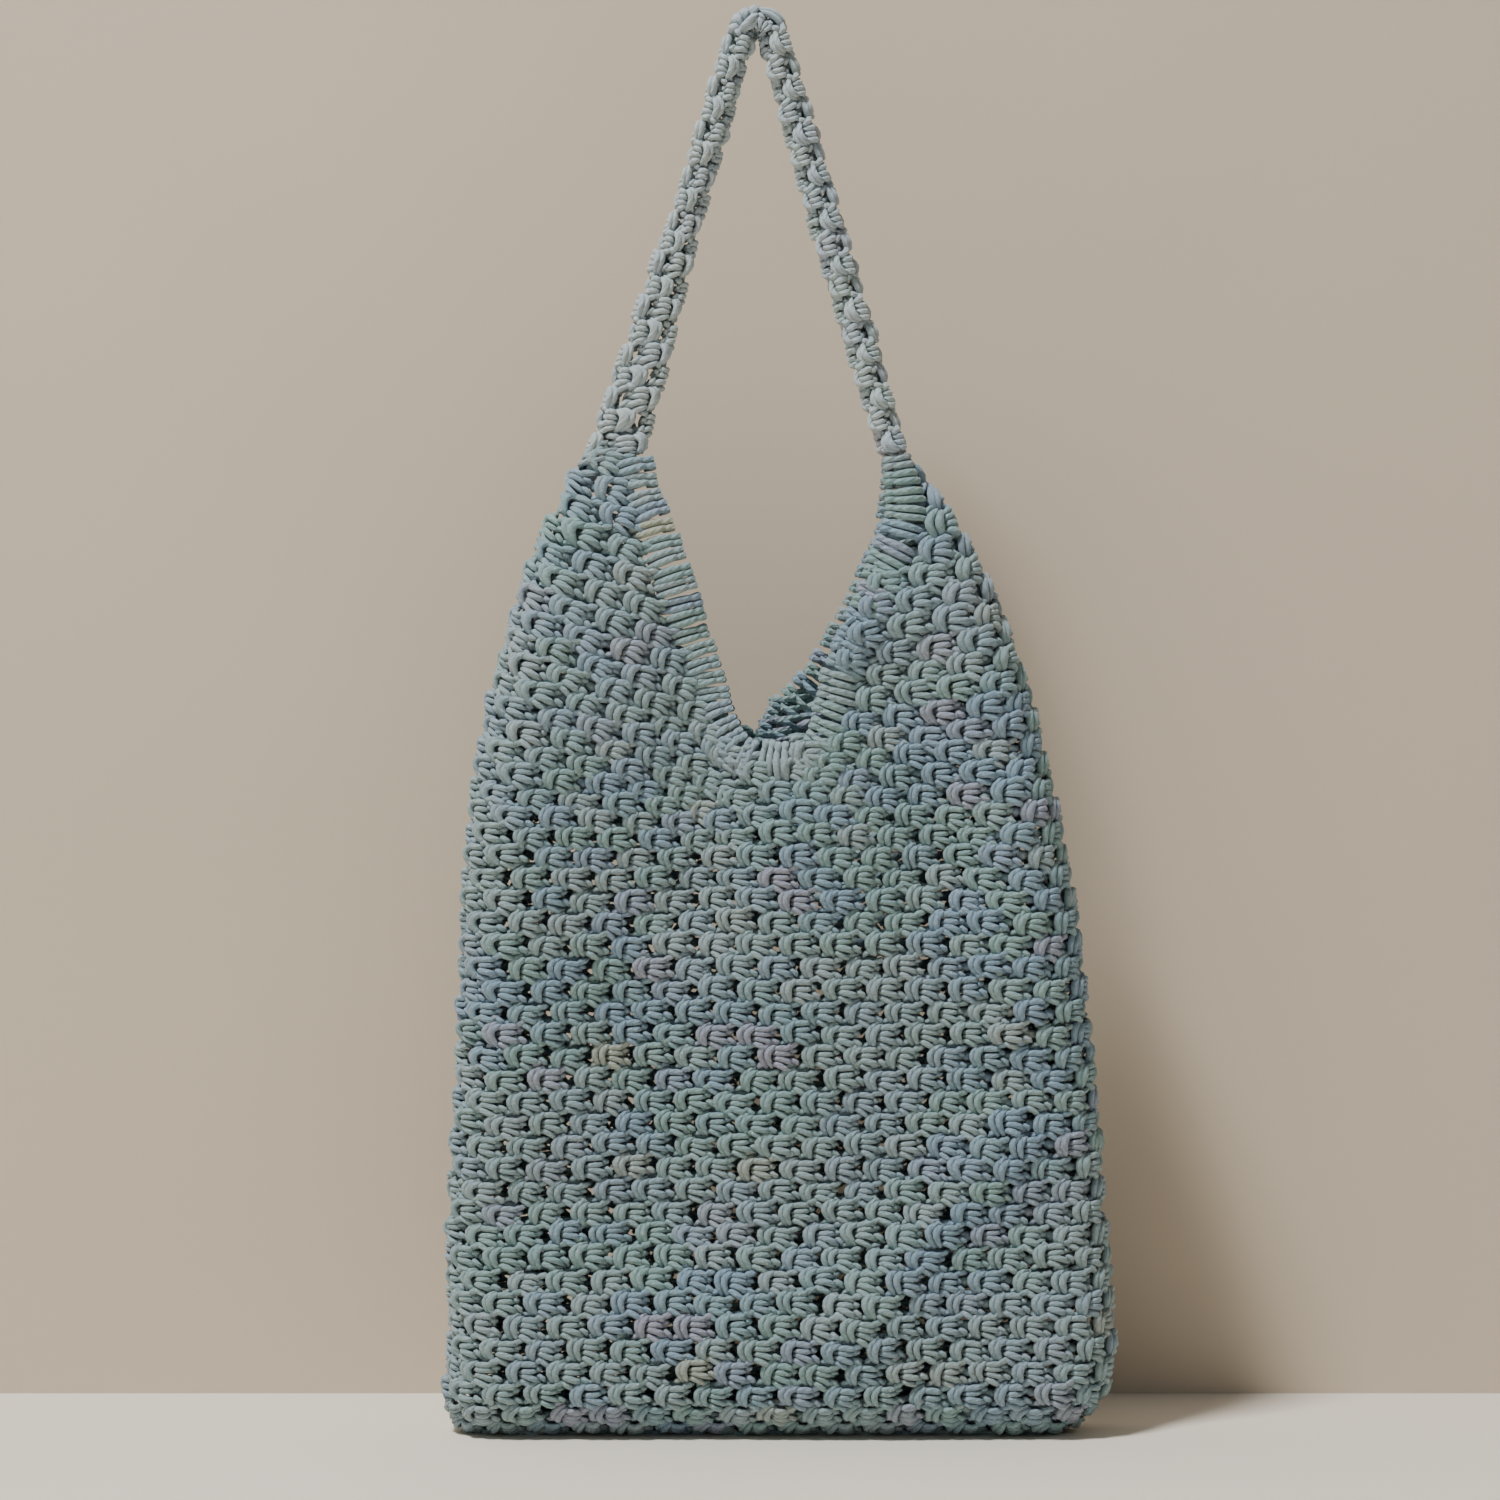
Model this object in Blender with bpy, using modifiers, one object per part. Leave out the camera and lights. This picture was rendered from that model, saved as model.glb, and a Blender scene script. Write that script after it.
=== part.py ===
"""Crochet shoulder bag: a hollow pouch with two peaks, and one band that joins the peaks over the hang point.

Metres, +Z up, the front faces -Y. The origin is where the bag hangs: the top of the inside of the band's bend.
"""

import math

import bpy
import numpy as np

# Pouch sizes. Its height runs from the peaks to the bottom edge.
POUCH_WIDTH = 0.352
POUCH_HEIGHT = 0.513
POUCH_DEPTH = 0.060
WALL = 0.0075
PEAK_DROP = 0.2205
BOTTOM_ROUNDING = 0.020

# Band sizes. Its width is that of the flat foot on the left peak, and the rest of it is rolled.
BAND_WIDTH = 0.0325
HANG_RADIUS = 0.0017
FIT_GAP = 0.0003

# The pouch's outline in horizontal sections. height is a share of POUCH_HEIGHT from the bottom; left and right are
# the outline's distances from the hang line, as shares of POUCH_WIDTH. The four depths are those of the wall's middle
# near each end of the front and of the back, and the two ends are the lengths of the rounded sides, all six as
# shares of POUCH_DEPTH.
SECTION_COLUMNS = (
    "height", "left", "right", "front_left", "front_right", "back_left", "back_right", "left_end", "right_end",
)
SECTIONS = (
    (0.000, 0.416, 0.431, 0.46, 0.46, 0.33, 0.33, 0.40, 0.40),
    (0.010, 0.446, 0.470, 0.49, 0.49, 0.34, 0.34, 0.40, 0.40),
    (0.028, 0.462, 0.500, 0.53, 0.53, 0.35, 0.35, 0.42, 0.40),
    (0.050, 0.464, 0.523, 0.56, 0.56, 0.35, 0.35, 0.44, 0.40),
    (0.080, 0.459, 0.532, 0.57, 0.57, 0.35, 0.35, 0.44, 0.40),
    (0.130, 0.457, 0.528, 0.53, 0.54, 0.35, 0.35, 0.42, 0.38),
    (0.180, 0.460, 0.523, 0.44, 0.47, 0.34, 0.34, 0.40, 0.36),
    (0.220, 0.459, 0.520, 0.38, 0.41, 0.33, 0.33, 0.39, 0.36),
    (0.260, 0.458, 0.516, 0.37, 0.37, 0.33, 0.33, 0.36, 0.36),
    (0.360, 0.449, 0.504, 0.37, 0.36, 0.33, 0.33, 0.36, 0.36),
    (0.460, 0.442, 0.489, 0.38, 0.37, 0.33, 0.33, 0.36, 0.36),
    (0.560, 0.438, 0.468, 0.40, 0.38, 0.34, 0.34, 0.38, 0.38),
    (0.640, 0.427, 0.446, 0.42, 0.39, 0.35, 0.36, 0.40, 0.38),
    (0.700, 0.413, 0.424, 0.42, 0.40, 0.36, 0.37, 0.40, 0.38),
    (0.760, 0.395, 0.403, 0.42, 0.40, 0.36, 0.38, 0.40, 0.37),
    (0.820, 0.371, 0.371, 0.40, 0.38, 0.35, 0.38, 0.38, 0.35),
    (0.870, 0.350, 0.341, 0.36, 0.35, 0.32, 0.36, 0.35, 0.32),
    (0.920, 0.319, 0.306, 0.30, 0.31, 0.27, 0.32, 0.30, 0.28),
    (0.960, 0.289, 0.263, 0.23, 0.26, 0.20, 0.28, 0.25, 0.22),
    (1.000, 0.257, 0.222, 0.16, 0.21, 0.15, 0.23, 0.22, 0.16),
)

# The two edges of the neck opening at each height, from the hang line, as shares of POUCH_WIDTH.
NECK_COLUMNS = ("height", "left", "right")
FRONT_NECK = (
    (0.701, -0.010, 0.066),
    (0.708, -0.020, 0.076),
    (0.744, -0.046, 0.094),
    (0.780, -0.061, 0.107),
    (0.810, -0.076, 0.124),
    (0.872, -0.104, 0.164),
    (0.923, -0.130, 0.192),
    (0.960, -0.152, 0.201),
    (1.000, -0.164, 0.196),
)
BACK_NECK = (
    (0.704, -0.022, 0.000),
    (0.744, -0.070, 0.030),
    (0.775, -0.104, 0.074),
    (0.821, -0.146, 0.116),
    (0.872, -0.188, 0.157),
    (0.923, -0.230, 0.187),
    (0.960, -0.260, 0.197),
    (1.000, -0.264, 0.199),
)

# Folds of the two panels: each runs between a top and a bottom point, is a soft ridge (rise over 0) or a valley, and
# has a half width across it. across is a share of POUCH_WIDTH from the hang line, height a share of POUCH_HEIGHT,
# half a share of POUCH_WIDTH and rise a share of POUCH_DEPTH.
FOLD_COLUMNS = ("panel", "top_across", "top_height", "low_across", "low_height", "half", "rise")
FOLDS = (
    ("front", -0.075, 0.800, -0.090, 0.560, 0.085, -0.150),
    ("front", 0.185, 0.770, 0.270, 0.590, 0.070, -0.130),
    ("front", 0.395, 0.640, 0.385, 0.420, 0.060, 0.060),
    ("front", -0.330, 0.700, -0.360, 0.300, 0.080, 0.050),
    ("front", 0.030, 0.620, 0.040, 0.300, 0.100, 0.045),
    ("front", -0.190, 0.430, -0.140, 0.230, 0.085, -0.095),
    ("front", 0.360, 0.300, 0.150, 0.130, 0.060, 0.120),
    ("front", 0.060, 0.150, 0.100, 0.090, 0.110, 0.050),
    ("back", -0.060, 0.720, -0.100, 0.480, 0.100, -0.070),
    ("back", 0.150, 0.720, 0.220, 0.500, 0.100, -0.070),
)

# The band's sections from each peak up to the bend. up is a share of the leg; across and deep are the section's size
# in the bag's plane and front to back, and forward is how far its middle is in front of the hang line, all as shares
# of BAND_WIDTH.
BAND_COLUMNS = (
    "up", "left_across", "left_deep", "left_forward", "right_across", "right_deep", "right_forward",
)
BAND = (
    (0.00, 1.000, 0.420, 0.180, 0.400, 0.880, -0.010),
    (0.06, 0.890, 0.400, 0.170, 0.400, 0.840, 0.000),
    (0.15, 0.830, 0.370, 0.160, 0.410, 0.790, 0.000),
    (0.25, 0.770, 0.360, 0.140, 0.430, 0.750, 0.000),
    (0.36, 0.660, 0.370, 0.120, 0.450, 0.700, 0.000),
    (0.46, 0.575, 0.390, 0.100, 0.470, 0.660, 0.000),
    (0.56, 0.490, 0.430, 0.080, 0.480, 0.630, 0.000),
    (0.70, 0.450, 0.500, 0.050, 0.450, 0.610, 0.000),
    (0.85, 0.420, 0.560, 0.020, 0.440, 0.590, 0.000),
    (1.00, 0.415, 0.585, 0.000, 0.415, 0.585, 0.000),
)

# Facets
COLUMN_RUNS = (4, 9, 3, 8, 3)
BOTTOM_ROWS = 5
WALL_ROWS = 22
LEG_RINGS = 24
BEND_RINGS = 14
RING_POINTS = 20
SECTION_POINTS = 181
TRIM_MARGIN = 0.004

PEAK_HEIGHT = -PEAK_DROP
BOTTOM_HEIGHT = PEAK_HEIGHT - POUCH_HEIGHT


def column(table, names, name):
    """One named column of a table as an array."""
    return np.array([row[names.index(name)] for row in table])


def smooth(at, places, values):
    """A smooth curve through the given values, without overshoot between rows."""
    steps = np.diff(places)
    rises = np.diff(values) / steps
    slopes = np.concatenate([rises[:1], (rises[:-1] + rises[1:]) / 2, rises[-1:]])
    turns = np.concatenate([[False], rises[:-1] * rises[1:] <= 0, [False]])
    slopes[turns] = 0
    at = np.clip(at, places[0], places[-1])
    left = np.clip(np.searchsorted(places, at, side="right") - 1, 0, len(steps) - 1)
    step = steps[left]
    t = (at - places[left]) / step
    return (
        (1 + 2 * t) * (1 - t) ** 2 * values[left]
        + t * (1 - t) ** 2 * step * slopes[left]
        + t * t * (3 - 2 * t) * values[left + 1]
        + t * t * (t - 1) * step * slopes[left + 1]
    )


def section_value(name, share):
    """A section column at a height share."""
    heights = column(SECTIONS, SECTION_COLUMNS, "height")
    return smooth(share, heights, column(SECTIONS, SECTION_COLUMNS, name))


def neck_edge(neck, name, share):
    """An edge of the neck opening, in metres from the hang line."""
    heights = column(neck, NECK_COLUMNS, "height")
    return smooth(share, heights, column(neck, NECK_COLUMNS, name)) * POUCH_WIDTH


def fold_rise(panel, x, z):
    """How far the folds push a panel outwards at a point, in metres."""
    rise = 0.0
    for name, top_x, top_z, low_x, low_z, half, height in FOLDS:
        if name != panel:
            continue
        top = (top_x * POUCH_WIDTH, BOTTOM_HEIGHT + top_z * POUCH_HEIGHT)
        low = (low_x * POUCH_WIDTH, BOTTOM_HEIGHT + low_z * POUCH_HEIGHT)
        run = (top[0] - low[0], top[1] - low[1])
        length = math.hypot(*run)
        along = ((x - low[0]) * run[0] + (z - low[1]) * run[1]) / length
        aside = ((x - low[0]) * run[1] - (z - low[1]) * run[0]) / length
        past = np.maximum(np.maximum(-along, along - length), 0)
        width = half * POUCH_WIDTH
        rise = rise + height * POUCH_DEPTH * np.exp(-(aside**2 + past**2) / width**2)
    return rise


def panel_line(panel, z):
    """The wall's middle along one panel at height z, from the left end to the right end: x and y arrays."""
    share = (z - BOTTOM_HEIGHT) / POUCH_HEIGHT
    left = -section_value("left", share) * POUCH_WIDTH + WALL / 2
    right = section_value("right", share) * POUCH_WIDTH - WALL / 2
    lowest = BOTTOM_HEIGHT + WALL / 2
    closing = math.sqrt(1 - (1 - min(1, max(0, z - lowest) / BOTTOM_ROUNDING)) ** 2)
    left_end = section_value("left_end", share) * POUCH_DEPTH
    right_end = section_value("right_end", share) * POUCH_DEPTH
    angle = np.linspace(0, math.pi / 2, SECTION_POINTS // 4)
    middle = np.linspace(left + left_end, right - right_end, SECTION_POINTS)[1:-1]
    x = np.concatenate([left + left_end * (1 - np.cos(angle)), middle, right - right_end * (1 - np.sin(angle))])
    round_off = np.concatenate([np.sin(angle), np.ones(len(middle)), np.cos(angle)])
    across = (x - left) / (right - left)
    depth = section_value(panel + "_left", share) * (1 - across) + section_value(panel + "_right", share) * across
    out = (depth * POUCH_DEPTH + fold_rise(panel, x, z)) * round_off * closing
    return x, -out if panel == "front" else out


def panel_point(panel, along, z):
    """A point of the wall's middle: along is the share of the panel's length from its left end."""
    x, y = panel_line(panel, z)
    length = np.concatenate([[0], np.cumsum(np.hypot(np.diff(x), np.diff(y)))])
    at = along * length[-1]
    return float(np.interp(at, length, x)), float(np.interp(at, length, y)), z


def share_at(panel, x_wanted, z):
    """The share of the panel's length where it passes x_wanted at height z."""
    x, y = panel_line(panel, z)
    length = np.concatenate([[0], np.cumsum(np.hypot(np.diff(x), np.diff(y)))])
    return float(np.interp(x_wanted, x, length) / length[-1])


def column_shares(panel, neck):
    """Shares of the panel's length for the columns, with one on each corner of the neck and of the peaks."""
    neck_z = BOTTOM_HEIGHT + neck[0][0] * POUCH_HEIGHT
    corners = (
        0.0,
        max(0.004, share_at(panel, neck_edge(neck, "left", 1.0), PEAK_HEIGHT)),
        share_at(panel, neck_edge(neck, "left", neck[0][0]), neck_z),
        share_at(panel, neck_edge(neck, "right", neck[0][0]), neck_z),
        share_at(panel, neck_edge(neck, "right", 1.0), PEAK_HEIGHT),
        1.0,
    )
    shares = [0.0]
    for start, end, count in zip(corners, corners[1:], COLUMN_RUNS):
        shares += [start + (end - start) * (step + 1) / count for step in range(count)]
    return shares


def column_top(panel, neck, along):
    """The height where a column of the panel meets the neck edge, or the peaks' height."""
    previous = neck[0][0]
    for share in np.linspace(previous, 1.0, 241):
        x = panel_point(panel, along, BOTTOM_HEIGHT + share * POUCH_HEIGHT)[0]
        if neck_edge(neck, "left", share) + 1e-6 < x < neck_edge(neck, "right", share) - 1e-6:
            return BOTTOM_HEIGHT + previous * POUCH_HEIGHT
        previous = share
    return PEAK_HEIGHT + TRIM_MARGIN


def column_heights(top):
    """Heights of the rows of one column: the rounded bottom first, then even steps up to its top."""
    lowest = BOTTOM_HEIGHT + WALL / 2
    start = lowest + BOTTOM_ROUNDING
    heights = [lowest + BOTTOM_ROUNDING * (1 - math.cos(math.pi / 2 * row / BOTTOM_ROWS)) for row in range(BOTTOM_ROWS)]
    return heights + [start + (top - start) * row / WALL_ROWS for row in range(WALL_ROWS + 1)]


def new_object(name, points, faces, collection):
    """A mesh object in a collection."""
    mesh = bpy.data.meshes.new(name)
    mesh.from_pydata(points, [], faces)
    mesh.validate()
    made = bpy.data.objects.new(name, mesh)
    collection.objects.link(made)
    return made


def material(name, colour, roughness):
    """A plain Principled material."""
    made = bpy.data.materials.new(name)
    made.use_nodes = True
    shader = made.node_tree.nodes["Principled BSDF"]
    shader.inputs["Base Color"].default_value = (*colour, 1)
    shader.inputs["Roughness"].default_value = roughness
    return made


def make_pouch(collection, cutters):
    """The pouch: one knitted shell, closed along its bottom and open at the neck, with flat tops on the peaks."""
    front = [("front", share) for share in column_shares("front", FRONT_NECK)]
    back = [("back", share) for share in reversed(column_shares("back", BACK_NECK)[1:-1])]
    necks = {"front": FRONT_NECK, "back": BACK_NECK}
    points = []
    around = front + back
    for panel, share in around:
        for z in column_heights(column_top(panel, necks[panel], share)):
            points.append(panel_point(panel, share, z))
    rows = BOTTOM_ROWS + WALL_ROWS + 1
    last = len(front) - 1
    # Each lowest point of the back is that of the front, so that the bottom closes in a line.
    for step in range(1, last):
        points[(last + step) * rows] = points[(last - step) * rows]
    faces = []
    for at in range(len(around)):
        beside = (at + 1) % len(around)
        for row in range(rows - 1):
            faces.append((at * rows + row, beside * rows + row, beside * rows + row + 1, at * rows + row + 1))
    pouch = new_object("pouch", points, faces, collection)
    bpy.context.view_layer.objects.active = pouch
    weld = pouch.modifiers.new("bottom line", "WELD")
    weld.merge_threshold = 0.00005
    shell = pouch.modifiers.new("wall", "SOLIDIFY")
    shell.thickness = WALL
    shell.offset = 0
    shell.use_even_offset = False
    side = 2 * POUCH_WIDTH
    top = PEAK_HEIGHT + side / 2
    bpy.ops.mesh.primitive_cube_add(size=side, location=(0, 0, top))
    cutter = bpy.context.object
    cutter.name = "peak_trim"
    for holder in list(cutter.users_collection):
        holder.objects.unlink(cutter)
    cutters.objects.link(cutter)
    cutter.hide_render = True
    cutter.display_type = "WIRE"
    trim = pouch.modifiers.new("flat peaks", "BOOLEAN")
    trim.operation = "DIFFERENCE"
    trim.solver = "EXACT"
    trim.object = cutter
    for face in pouch.data.polygons:
        face.use_smooth = True
    pouch.data.materials.append(material("pouch_yarn", (0.36, 0.42, 0.45), 0.9))
    return pouch


def band_value(name, up):
    """A band column at a share of the leg, in metres."""
    ups = column(BAND, BAND_COLUMNS, "up")
    return float(smooth(up, ups, column(BAND, BAND_COLUMNS, name))) * BAND_WIDTH


def band_rings():
    """Rings of the band from the left peak over the bend to the right peak.

    Each is its middle x and z, the angle of its outward axis from +X, and its size across and deep and its forward.
    """
    foot_z = PEAK_HEIGHT + FIT_GAP
    left_x = (-section_value("left", 1.0) * POUCH_WIDTH + neck_edge(FRONT_NECK, "left", 1.0)) / 2
    right_edge = neck_edge(FRONT_NECK, "right", 1.0) - WALL / 2
    right_x = (section_value("right", 1.0) * POUCH_WIDTH + right_edge) / 2
    bend = HANG_RADIUS + band_value("left_across", 1.0) / 2
    centre_z = -HANG_RADIUS
    angles = {}
    for side, foot_x in (("left", float(left_x)), ("right", float(right_x))):
        reach = math.hypot(foot_x, foot_z - centre_z)
        lean = math.asin(abs(foot_x) / reach) - math.asin(bend / reach)
        angles[side] = (foot_x, lean)
    rings = []
    for step in range(LEG_RINGS):
        up = step / LEG_RINGS
        rings.append(leg_ring("left", -1, angles["left"], up, bend, centre_z, foot_z))
    start = math.pi - angles["left"][1]
    end = angles["right"][1]
    for step in range(BEND_RINGS + 1):
        angle = start + (end - start) * step / BEND_RINGS
        size = (band_value("left_across", 1.0), band_value("left_deep", 1.0), 0.0)
        rings.append((bend * math.cos(angle), centre_z + bend * math.sin(angle), angle, *size))
    for step in range(LEG_RINGS):
        up = 1 - (step + 1) / LEG_RINGS
        rings.append(leg_ring("right", 1, angles["right"], up, bend, centre_z, foot_z))
    return rings


def leg_ring(side, sign, foot, up, bend, centre_z, foot_z):
    """A ring of a straight leg. At the foot it is level, and at the bend it is square to the leg."""
    foot_x, lean = foot
    top = (sign * bend * math.cos(lean), centre_z + bend * math.sin(lean))
    x = foot_x + (top[0] - foot_x) * up
    z = foot_z + (top[1] - foot_z) * up
    tilt = lean * up * up * (3 - 2 * up)
    angle = tilt if sign > 0 else math.pi - tilt
    return (x, z, angle, *(band_value(f"{side}_{name}", up) for name in ("across", "deep", "forward")))


def make_band(collection):
    """The band: one solid lofted through its rings."""
    points = []
    for x, z, angle, across, deep, forward in band_rings():
        for step in range(RING_POINTS):
            turn = 2 * math.pi * step / RING_POINTS
            out = math.copysign(abs(math.cos(turn)) ** 0.8, math.cos(turn)) * across / 2
            side = math.copysign(abs(math.sin(turn)) ** 0.8, math.sin(turn)) * deep / 2
            points.append((x + out * math.cos(angle), side - forward, z + out * math.sin(angle)))
    rings = len(points) // RING_POINTS
    faces = [tuple(range(RING_POINTS)), tuple(reversed(range((rings - 1) * RING_POINTS, rings * RING_POINTS)))]
    for ring in range(rings - 1):
        for step in range(RING_POINTS):
            here = ring * RING_POINTS
            beside = (step + 1) % RING_POINTS
            faces.append((here + beside, here + step, here + RING_POINTS + step, here + RING_POINTS + beside))
    band = new_object("strap", points, faces, collection)
    for face in band.data.polygons:
        face.use_smooth = len(face.vertices) == 4
    band.data.materials.append(material("strap_yarn", (0.50, 0.55, 0.57), 0.9))
    return band


def main():
    for old in list(bpy.data.objects):
        bpy.data.objects.remove(old, do_unlink=True)
    bag = bpy.data.collections.new("crochet_bag")
    bpy.context.scene.collection.children.link(bag)
    cutters = bpy.data.collections.new("cutters")
    bpy.context.scene.collection.children.link(cutters)
    make_pouch(bag, cutters)
    make_band(bag)


main()
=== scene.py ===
"""Crochet shoulder bag: the visual model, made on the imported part.

The pouch and the strap are covered in crochet stitches. A Geometry Nodes tree puts a copy of one stitch on each cell
of a lattice and bends it onto the bag's form. Metres, +Z up, the front faces -Y, the origin is where the bag hangs.
"""

import math

import bpy
import numpy as np
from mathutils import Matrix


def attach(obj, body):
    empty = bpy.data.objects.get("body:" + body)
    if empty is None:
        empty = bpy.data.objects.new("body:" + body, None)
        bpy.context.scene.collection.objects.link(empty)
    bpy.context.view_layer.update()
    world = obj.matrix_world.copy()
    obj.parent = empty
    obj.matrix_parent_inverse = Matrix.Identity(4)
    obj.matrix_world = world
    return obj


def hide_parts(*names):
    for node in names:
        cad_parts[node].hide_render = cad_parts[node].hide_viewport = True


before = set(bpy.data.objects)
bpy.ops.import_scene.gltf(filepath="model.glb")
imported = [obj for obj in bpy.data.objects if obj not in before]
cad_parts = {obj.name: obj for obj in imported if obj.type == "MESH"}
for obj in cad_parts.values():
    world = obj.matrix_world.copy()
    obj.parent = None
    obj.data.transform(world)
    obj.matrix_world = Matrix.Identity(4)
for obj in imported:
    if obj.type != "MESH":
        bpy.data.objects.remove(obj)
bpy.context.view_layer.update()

bl_info = {
    "name": "Crochet bag",
    "version": (1, 0, 0),
    "blender": (4, 5, 0),
    "location": "3D view > Sidebar > Crochet bag",
    "description": "Builds a crochet shoulder bag from its packed part",
    "category": "Add Mesh",
}

# The part's sizes, which the form below follows.
POUCH_WIDTH = 0.352
POUCH_HEIGHT = 0.513
POUCH_DEPTH = 0.060
WALL = 0.0075
PEAK_DROP = 0.2205
BOTTOM_ROUNDING = 0.020
BAND_WIDTH = 0.0325
HANG_RADIUS = 0.0017

SECTION_COLUMNS = (
    "height", "left", "right", "front_left", "front_right", "back_left", "back_right", "left_end", "right_end",
)
SECTIONS = (
    (0.000, 0.416, 0.431, 0.46, 0.46, 0.33, 0.33, 0.40, 0.40),
    (0.010, 0.446, 0.470, 0.49, 0.49, 0.34, 0.34, 0.40, 0.40),
    (0.028, 0.462, 0.500, 0.53, 0.53, 0.35, 0.35, 0.42, 0.40),
    (0.050, 0.464, 0.523, 0.56, 0.56, 0.35, 0.35, 0.44, 0.40),
    (0.080, 0.459, 0.532, 0.57, 0.57, 0.35, 0.35, 0.44, 0.40),
    (0.130, 0.457, 0.528, 0.53, 0.54, 0.35, 0.35, 0.42, 0.38),
    (0.180, 0.460, 0.523, 0.44, 0.47, 0.34, 0.34, 0.40, 0.36),
    (0.220, 0.459, 0.520, 0.38, 0.41, 0.33, 0.33, 0.39, 0.36),
    (0.260, 0.458, 0.516, 0.37, 0.37, 0.33, 0.33, 0.36, 0.36),
    (0.360, 0.449, 0.504, 0.37, 0.36, 0.33, 0.33, 0.36, 0.36),
    (0.460, 0.442, 0.489, 0.38, 0.37, 0.33, 0.33, 0.36, 0.36),
    (0.560, 0.438, 0.468, 0.40, 0.38, 0.34, 0.34, 0.38, 0.38),
    (0.640, 0.427, 0.446, 0.42, 0.39, 0.35, 0.36, 0.40, 0.38),
    (0.700, 0.413, 0.424, 0.42, 0.40, 0.36, 0.37, 0.40, 0.38),
    (0.760, 0.395, 0.403, 0.42, 0.40, 0.36, 0.38, 0.40, 0.37),
    (0.820, 0.371, 0.371, 0.40, 0.38, 0.35, 0.38, 0.38, 0.35),
    (0.870, 0.350, 0.341, 0.36, 0.35, 0.32, 0.36, 0.35, 0.32),
    (0.920, 0.319, 0.306, 0.30, 0.31, 0.27, 0.32, 0.30, 0.28),
    (0.960, 0.289, 0.263, 0.23, 0.26, 0.20, 0.28, 0.25, 0.22),
    (1.000, 0.257, 0.222, 0.16, 0.21, 0.15, 0.23, 0.22, 0.16),
)
NECK_COLUMNS = ("height", "left", "right")
FRONT_NECK = (
    (0.701, -0.010, 0.066),
    (0.708, -0.020, 0.076),
    (0.744, -0.046, 0.094),
    (0.780, -0.061, 0.107),
    (0.810, -0.076, 0.124),
    (0.872, -0.104, 0.164),
    (0.923, -0.130, 0.192),
    (0.960, -0.152, 0.201),
    (1.000, -0.164, 0.196),
)
BACK_NECK = (
    (0.704, -0.022, 0.000),
    (0.744, -0.070, 0.030),
    (0.775, -0.104, 0.074),
    (0.821, -0.146, 0.116),
    (0.872, -0.188, 0.157),
    (0.923, -0.230, 0.187),
    (0.960, -0.260, 0.197),
    (1.000, -0.264, 0.199),
)
FOLD_COLUMNS = ("panel", "top_across", "top_height", "low_across", "low_height", "half", "rise")
FOLDS = (
    ("front", -0.075, 0.800, -0.090, 0.560, 0.085, -0.150),
    ("front", 0.185, 0.770, 0.270, 0.590, 0.070, -0.130),
    ("front", 0.395, 0.640, 0.385, 0.420, 0.060, 0.060),
    ("front", -0.330, 0.700, -0.360, 0.300, 0.080, 0.050),
    ("front", 0.030, 0.620, 0.040, 0.300, 0.100, 0.045),
    ("front", -0.190, 0.430, -0.140, 0.230, 0.085, -0.095),
    ("front", 0.360, 0.300, 0.150, 0.130, 0.060, 0.120),
    ("front", 0.060, 0.150, 0.100, 0.090, 0.110, 0.050),
    ("back", -0.060, 0.720, -0.100, 0.480, 0.100, -0.070),
    ("back", 0.150, 0.720, 0.220, 0.500, 0.100, -0.070),
)
BAND_COLUMNS = (
    "up", "left_across", "left_deep", "left_forward", "right_across", "right_deep", "right_forward",
)
BAND = (
    (0.00, 1.000, 0.420, 0.180, 0.400, 0.880, -0.010),
    (0.06, 0.890, 0.400, 0.170, 0.400, 0.840, 0.000),
    (0.15, 0.830, 0.370, 0.160, 0.410, 0.790, 0.000),
    (0.25, 0.770, 0.360, 0.140, 0.430, 0.750, 0.000),
    (0.36, 0.660, 0.370, 0.120, 0.450, 0.700, 0.000),
    (0.46, 0.575, 0.390, 0.100, 0.470, 0.660, 0.000),
    (0.56, 0.490, 0.430, 0.080, 0.480, 0.630, 0.000),
    (0.70, 0.450, 0.500, 0.050, 0.450, 0.610, 0.000),
    (0.85, 0.420, 0.560, 0.020, 0.440, 0.590, 0.000),
    (1.00, 0.415, 0.585, 0.000, 0.415, 0.585, 0.000),
)
PEAK_HEIGHT = -PEAK_DROP
BOTTOM_HEIGHT = PEAK_HEIGHT - POUCH_HEIGHT

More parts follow.
